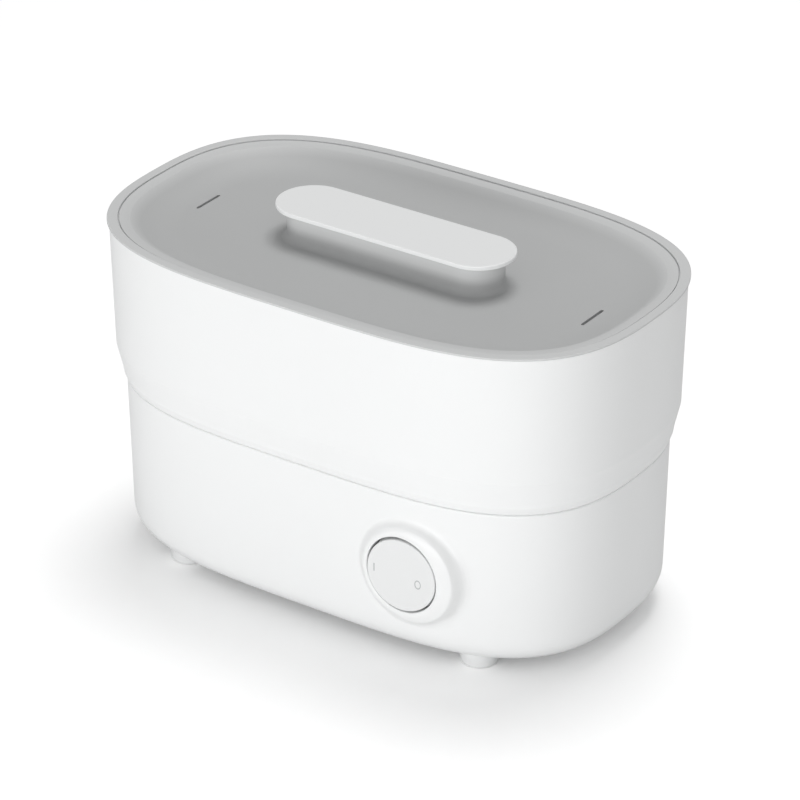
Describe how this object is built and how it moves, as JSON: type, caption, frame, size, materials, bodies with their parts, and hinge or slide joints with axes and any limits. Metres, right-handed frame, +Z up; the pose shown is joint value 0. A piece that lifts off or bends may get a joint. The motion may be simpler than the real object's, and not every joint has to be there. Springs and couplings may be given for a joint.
{
  "type": "electric steam sterilizer",
  "caption": "Oblong electric steam sterilizer with a heated base, a lift-off steam chamber with basket and tray, a dished lid with a handle plate and a rocker switch in front.",
  "frame": {"origin": "on the floor under the middle of the base", "axes": "+X to the right along the length, -Y towards the front with the switch, +Z up"},
  "size_m": [0.28, 0.1688, 0.1787],
  "materials": {
    "white_polypropylene": "smooth, slightly glossy moulded plastic",
    "white_abs": "fine satin moulded plastic",
    "grey_polypropylene": "satin moulded plastic",
    "natural_polypropylene": "milky, slightly rough moulded plastic",
    "stainless_steel": "drawn stainless steel",
    "zinc_plated_steel": "zinc plated",
    "black_phenolic": "matt moulded phenolic",
    "silicone_rubber": "matt silicone",
    "white_rubber": "matt rubber",
    "brown_pvc": "wire insulation",
    "red_silicone": "wire insulation",
    "blue_pvc": "wire insulation",
    "green_yellow_pvc": "wire insulation"
  },
  "bodies": {
    "base": {"base_housing": "white_polypropylene", "base_screw_front_left": "zinc_plated_steel", "base_screw_front_right": "zinc_plated_steel", "base_screw_rear_left": "zinc_plated_steel", "base_screw_rear_right": "zinc_plated_steel", "bottom_cover": "white_polypropylene", "bracket_screw_left": "zinc_plated_steel", "bracket_screw_right": "zinc_plated_steel", "clamp_screw_front_left": "zinc_plated_steel", "clamp_screw_front_right": "zinc_plated_steel", "clamp_screw_rear_left": "zinc_plated_steel", "clamp_screw_rear_right": "zinc_plated_steel", "cord_gland": "white_polypropylene", "foot_front_left": "white_rubber", "foot_front_right": "white_rubber", "foot_rear_left": "white_rubber", "foot_rear_right": "white_rubber", "frame_screw_lower": "zinc_plated_steel", "frame_screw_upper": "zinc_plated_steel", "gland_nut": "black_phenolic", "heating_element": "stainless_steel", "heating_plate": "stainless_steel", "microswitch": "black_phenolic", "pivot_pin": "stainless_steel", "plate_clamp_ring": "zinc_plated_steel", "plate_gasket": "silicone_rubber", "switch_frame": "white_abs", "terminal_block": "white_abs", "thermal_fuse": "white_abs", "thermostat": "black_phenolic", "thermostat_bracket": "zinc_plated_steel", "water_tub": "white_polypropylene", "wire_earth": "green_yellow_pvc", "wire_fused": "red_silicone", "wire_live": "brown_pvc", "wire_neutral": "blue_pvc", "wire_switched": "brown_pvc", "wire_thermostat": "red_silicone"},
    "chamber": {"steam_chamber": "white_polypropylene"},
    "basket": {"bottle_basket": "natural_polypropylene"},
    "tray": {"accessory_tray": "natural_polypropylene"},
    "lid": {"lid_shell": "grey_polypropylene", "handle_plate": "white_polypropylene", "handle_screw_left": "zinc_plated_steel", "handle_screw_right": "zinc_plated_steel"},
    "rocker": {"rocker_button": "white_abs"},
    "plunger": {"switch_plunger": "natural_polypropylene"}
  },
  "joints": [
    {"name": "chamber_lift", "type": "slide", "parent": "base", "child": "chamber", "axis": [0, 0, 1], "range_m": [0, 0.066]},
    {"name": "basket_lift", "type": "slide", "parent": "chamber", "child": "basket", "axis": [0, 0, 1], "range_m": [0, 0.135]},
    {"name": "tray_lift", "type": "slide", "parent": "basket", "child": "tray", "axis": [0, 0, 1], "range_m": [0, 0.048]},
    {"name": "lid_lift", "type": "slide", "parent": "tray", "child": "lid", "axis": [0, 0, 1], "range_m": [0, 0.05]},
    {"name": "rocker_tilt", "type": "hinge", "parent": "base", "child": "rocker", "pos_m": [0.0585, -0.07644, 0.0497], "axis": [0, 0, -1], "range_deg": [0, 5]},
    {"name": "plunger_slide", "type": "slide", "parent": "base", "child": "plunger", "axis": [0, 1, 0], "range_m": [0, 0.0007]}
  ],
  "couplings": [
    {"joint": "plunger_slide", "follows": "rocker_tilt", "m_per_rad": 0.0078}
  ]
}
